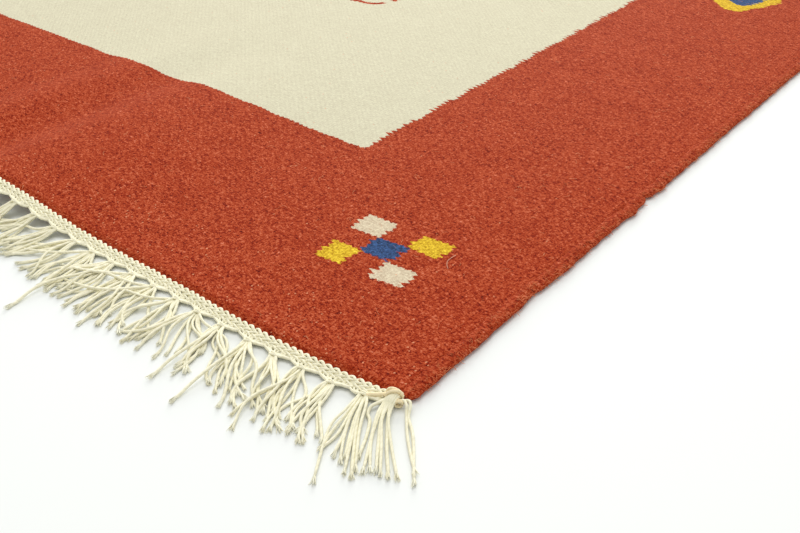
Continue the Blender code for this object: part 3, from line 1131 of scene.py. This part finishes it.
def make_fringe(end, materials):
    """The knotted bundles of one end, with their knots and frayed tips."""
    sign = END_SIGN[end]
    rng = random.Random(40 + sign)
    halves = [Yarns(f"fringe_strands_{end}_{part}") for part in ("right", "left")]
    tufts = Yarns("frayed_tips_" + end)
    knots = Yarns("fringe_knots_" + end)
    for bundle in bundle_rows(end, rng):
        x, turn = bundle["x"], bundle["turn"]
        drawn_up = 0.0022 if bundle["number"] in (1, BUNDLES) else 0.0
        y = end_line(end, x) + sign * (KNOT_OUT - drawn_up + rng.uniform(-0.0008, 0.0008))
        knot = (x, y, lift(x, y) + 0.0026)
        strands = halves[0] if turn * x > 0 else halves[1]
        shares = [index / (STRANDS - 1) - 0.5 for index in range(STRANDS)]
        routes = []
        for share in shares:
            gather = gathered(end, bundle, knot, share, rng)
            wild = rng.uniform(-50, 50) if rng.random() < 0.12 else 0.0
            leans = (
                turn * (bundle["root_lean"] + share * bundle["fan"] + rng.uniform(-5, 5) + 0.3 * wild),
                turn * (bundle["tip_lean"] + share * bundle["fan"] * 0.6 + rng.uniform(-14, 14) + wild),
            )
            length = bundle["length"] * rng.uniform(0.86, 1.10)
            layer = rng.choice((0.0, 0.0008, 0.0017, 0.0030))
            routes.append(gather[:-1] + lie_down(gather[-1], leans, length, sign, layer, rng))
        if bundle["number"] in (1, BUNDLES):
            side = 1 if x > 0 else -1
            routes = []
            for share, row in zip(shares, rows(LAID_COLUMNS, FIRST_STRANDS)):
                gather = gathered(end, bundle, knot, side * share, rng)
                routes.append(gather[:-1] + laid(end, side, (gather[-1],), row, rng.uniform(0, 2), rng))
        if end == "front":
            for stray in rows(STRAY_COLUMNS, STRAYS):
                if stray["bundle"] == bundle["number"]:
                    leans = (turn * stray["root_lean"], turn * stray["tip_lean"])
                    routes.append(lie_down(knot, leans, stray["length"], sign, 0.0036, rng))
        for route in routes:
            strands.add(route, strand_sizes(route, rng), sides=6)
            fray(tufts, route, rng)
        tie_turns(knots, knot, (0, sign, -0.15), (0.0027, 0.0019), 0.00088, 2, rng)
    return [
        *(half.finish(materials["strand"]) for half in halves),
        tufts.finish(materials["fray"]),
        knots.finish(materials["strand"]),
    ]


def make_corner(end, side, materials):
    """A corner's double warps, tied round the web's corner, and the cord that leads to them."""
    sign = END_SIGN[end]
    rng = random.Random(60 + 2 * side + sign)
    name = end + ("_right" if side > 0 else "_left")
    cords = Yarns("corner_tie_" + name)
    strands = Yarns("corner_strands_" + name)
    tufts = Yarns("corner_tips_" + name)

    def place(inward, outward, z):
        return by_corner(end, side, inward, outward, z)

    # the cord from the first knot, and two turns over the web's corner
    cord = curve_through((
        place(27.5, 8.0, 3.2),
        place(24.0, 5.5, 3.8),
        place(19.0, 1.8, 4.0),
        place(14.0, -2.0, 4.6),
    ), 4)
    cords.add(cord, (*(0.00155 for _ in cord[:-1]), 0.0012), sides=8)
    way = (side * 0.42, sign * 0.9, 0.0)
    tie_turns(cords, place(11.0, -2.6, 5.0), way, (0.0052, 0.0042), 0.00112, 2, rng)

    count = len(CORNER_STRANDS) - 1
    routes = []
    for number, row in enumerate(rows(LAID_COLUMNS, CORNER_STRANDS)):
        share = number / count
        arch = 1.4 * math.sin(math.pi * share)
        starts = (
            place(14.2 - 6.2 * share, -3.8, 5.2 + arch),
            place(13.6 - 6.4 * share, 1.4, 5.4 + arch),
            place(12.6 - 6.9 * share, 7.0, 3.6 + 0.6 * arch),
        )
        routes.append(laid(end, side, starts, row, rng.uniform(0, 1.4), rng))
    # one strand springs out in a curl
    routes.append(curve_through((
        place(13.0, 0.0, 4.0),
        place(14.8, 6.5, 3.6),
        place(17.4, 12.5, 2.6),
        place(15.6, 18.4, 1.6),
        place(10.4, 22.5, 1.2),
        place(3.5, 34.0, 1.1),
        place(-3.5, 49.0, 1.1),
    ), 4))
    # a second, smaller tie at the very corner with two long strands
    tie_turns(cords, place(5.2, 0.6, 3.4), (side * 0.5, sign, 0), (0.0024, 0.0022), 0.0009, 2, rng)
    for number, row in enumerate(rows(LAID_COLUMNS, CORNER_TIES)):
        starts = (
            place(5.4, -0.6, 3.6),
            place(3.4 - 2.6 * number, -2.0 - 1.6 * number, 5.2),
            place(-1.2 - 1.8 * number, 0.6 - 1.6 * number, 4.6),
        )
        routes.append(laid(end, side, starts, row, 0.0, rng))
    for route in routes:
        strands.add(route, strand_sizes(route, rng), sides=7)
        fray(tufts, route, rng)
    return [
        cords.finish(materials["tie"]),
        strands.finish(materials["strand"]),
        tufts.finish(materials["fray"]),
    ]


# ---- floor, light and camera ---------------------------------------------------------------------
FLOOR_SIZE = 14.0
FLOOR_DROP = 0.0003          # keeps the floor clear of the rug's underside
ROOM_LIGHT = 0.66

# Soft lights, placed and aimed from the front right corner; size in metres, power in watts.
SOFTBOX_COLUMNS = ("name", "offset", "size", "power")
SOFTBOXES = (
    ("overhead_softbox", (-0.4, 0.5, 1.9), 1.6, 17.5),
    ("low_softbox", (-2.6, 3.9, 1.45), 2.2, 165.0),
)
CAMERA_OFFSET = (0.2783, -0.3553, 0.4085)
CAMERA_DOWN = 33.66          # degrees below level
CAMERA_TURN = 38.53
CAMERA_LENS = 43.4
CAMERA_SENSOR = 36.0


def make_studio():
    """A white floor under a wide soft light, and the camera low by the front right corner."""
    bpy.ops.mesh.primitive_plane_add(size=FLOOR_SIZE, location=(0, 0, -FLOOR_DROP))
    floor = bpy.context.object
    floor.name = "white_floor"
    floor.data.materials.append(floor_material())

    world = bpy.data.worlds.new("soft_white_room")
    world.use_nodes = True
    background = world.node_tree.nodes["Background"]
    background.inputs["Color"].default_value = (1.0, 1.0, 1.0, 1.0)
    background.inputs["Strength"].default_value = ROOM_LIGHT
    bpy.context.scene.world = world

    corner = Vector((0.5 * RUG_WIDTH, -0.5 * RUG_LENGTH, 0.0))
    for row in rows(SOFTBOX_COLUMNS, SOFTBOXES):
        bpy.ops.object.light_add(type="AREA", location=corner + Vector(row["offset"]))
        light = bpy.context.object
        light.name = row["name"]
        light.data.size = row["size"]
        light.data.energy = row["power"]
        light.rotation_euler = (corner - light.location).to_track_quat("-Z", "Y").to_euler()

    bpy.ops.object.camera_add(location=corner + Vector(CAMERA_OFFSET))
    camera = bpy.context.object
    camera.rotation_euler = (math.radians(90 - CAMERA_DOWN), 0.0, math.radians(CAMERA_TURN))
    camera.data.sensor_width = CAMERA_SENSOR
    camera.data.lens = CAMERA_LENS
    camera.data.clip_start = 0.01
    bpy.context.scene.camera = camera
    bpy.context.scene.view_settings.view_transform = "Standard"


def main():
    bpy.ops.object.select_all(action="DESELECT")
    make_studio()
    weave = weave_group()
    materials = {
        "strand": cotton_material("cotton_strand", PLY_PITCH, COTTON),
        "twine": cotton_material("cotton_twine", 0.0046, COTTON),
        "tie": cotton_material("tanned_cotton", PLY_PITCH, TANNED_COTTON),
        "fray": fibre_material("cotton_fibre", COTTON, PALE_COTTON),
    }
    web = make_web(wool_material("charted_wool", weave, chart_group(), 0.26, 0.16))
    edge_wool = wool_material("selvedge_wool", weave, None, 0.22, 0.34)
    wool = [
        *(make_selvedge(side, edge_wool) for side in (1, -1)),
        make_web_hairs(fibre_material("web_hair", *HAIR_COLORS["web_hair"])),
        make_edge_hairs(fibre_material("edge_hair", *HAIR_COLORS["edge_hair"])),
        make_long_hair(fibre_material("cream_hair", *HAIR_COLORS["cream_hair"])),
    ]
    cotton = []
    for end in END_SIGN:
        heading = make_heading(end, materials["twine"])
        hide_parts("end_band_" + end)
        fringe = make_fringe(end, materials)
        for side in (1, -1):
            fringe += make_corner(end, side, materials)
        for piece in fringe:
            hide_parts("fringe_" + end)
        cotton += [heading, *fringe]
    for piece in (web, *wool):
        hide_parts("woven_web")
        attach(piece, "root")
    for piece in cotton:
        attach(piece, "root")


main()
